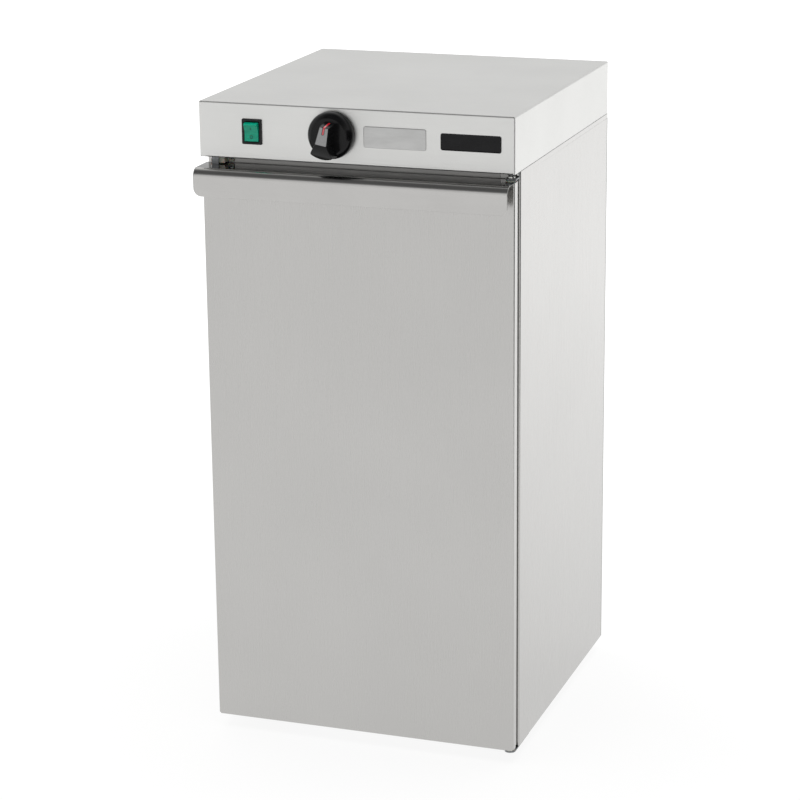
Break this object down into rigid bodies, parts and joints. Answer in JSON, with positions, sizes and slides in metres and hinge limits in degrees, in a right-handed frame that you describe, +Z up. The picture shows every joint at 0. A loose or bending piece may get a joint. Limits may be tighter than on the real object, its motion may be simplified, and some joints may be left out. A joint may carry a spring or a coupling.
{
  "type": "plate warmer cabinet",
  "caption": "Tall stainless heated cabinet for plates, with one pivoted door, a folded handle along its top, and a capped top with a thermostat knob and a lit rocker switch.",
  "frame": {"origin": "on the surface that the feet stand on, under the centre of the whole box, knob and cable gland counted", "axes": "+X to the right seen from the front, +Y from the front to the back, +Z up"},
  "size_m": [0.4, 0.484, 0.82],
  "materials": {
    "stainless_sheet": "satin",
    "chamber_sheet": "satin",
    "insulation": "matte",
    "bright_steel": "polished",
    "dull_steel": "matte",
    "black_plastic": "satin",
    "rubber": "matte",
    "brass": "satin",
    "nylon": "satin",
    "wire_insulation": "satin",
    "silver_plate": "satin",
    "black_plate": "gloss",
    "knob_black": "gloss",
    "pointer_red": "gloss",
    "rocker_green": "gloss"
  },
  "bodies": {
    "cabinet": {"base_tray": "stainless_sheet", "side_panel_left": "stainless_sheet", "side_panel_right": "stainless_sheet", "back_panel": "stainless_sheet", "front_rail_top": "stainless_sheet", "front_rail_bottom": "stainless_sheet", "top_deck": "chamber_sheet", "top_cover": "stainless_sheet", "panel_screws": "bright_steel", "liner_left": "chamber_sheet", "liner_right": "chamber_sheet", "liner_back": "chamber_sheet", "liner_ceiling": "chamber_sheet", "liner_floor": "chamber_sheet", "insulation_left": "insulation", "insulation_right": "insulation", "insulation_back": "insulation", "insulation_top": "insulation", "insulation_bottom": "insulation", "runners_left": "chamber_sheet", "runners_right": "chamber_sheet", "wire_shelf": "bright_steel", "heater_guard": "chamber_sheet", "heating_element": "dull_steel", "element_brackets": "chamber_sheet", "capillary_bulb": "brass", "bulb_clip": "chamber_sheet", "safety_cutout": "black_plastic", "thermostat_body": "dull_steel", "thermostat_screws": "bright_steel", "terminal_block": "nylon", "earth_stud": "brass", "wiring": "wire_insulation", "cable_gland": "black_plastic", "gland_nut": "black_plastic", "switch_housing": "black_plastic", "silver_plate": "silver_plate", "black_plate": "black_plate", "hinge_bracket_top": "bright_steel", "hinge_bracket_bottom": "bright_steel", "hinge_pin_top": "bright_steel", "hinge_pin_bottom": "bright_steel", "catch_housing": "nylon", "catch_magnet": "dull_steel", "bracket_screws": "bright_steel", "foot_front_left": "rubber", "foot_front_right": "rubber", "foot_rear_left": "rubber", "foot_rear_right": "rubber", "foot_bolts": "bright_steel"},
    "door": {"door_skin": "stainless_sheet", "door_pan": "stainless_sheet", "door_insulation": "insulation", "door_gasket": "rubber", "hinge_bushes": "nylon", "catch_strike": "bright_steel"},
    "thermostat_knob": {"knob": "knob_black", "knob_pointer": "pointer_red", "thermostat_shaft": "bright_steel"},
    "power_rocker": {"rocker": "rocker_green"}
  },
  "joints": [
    {"name": "door_hinge", "type": "hinge", "parent": "cabinet", "child": "door", "pos_m": [0.192, -0.1915, 0.38], "axis": [0, 0, 1], "range_deg": [0, 110]},
    {"name": "knob_turn", "type": "hinge", "parent": "cabinet", "child": "thermostat_knob", "pos_m": [-0.027, -0.204, 0.7875], "axis": [0, 1, 0], "range_deg": [0, 270]},
    {"name": "rocker_tip", "type": "hinge", "parent": "cabinet", "child": "power_rocker", "pos_m": [-0.1305, -0.2035, 0.7856], "axis": [-1, 0, 0], "range_deg": [0, 20]}
  ]
}
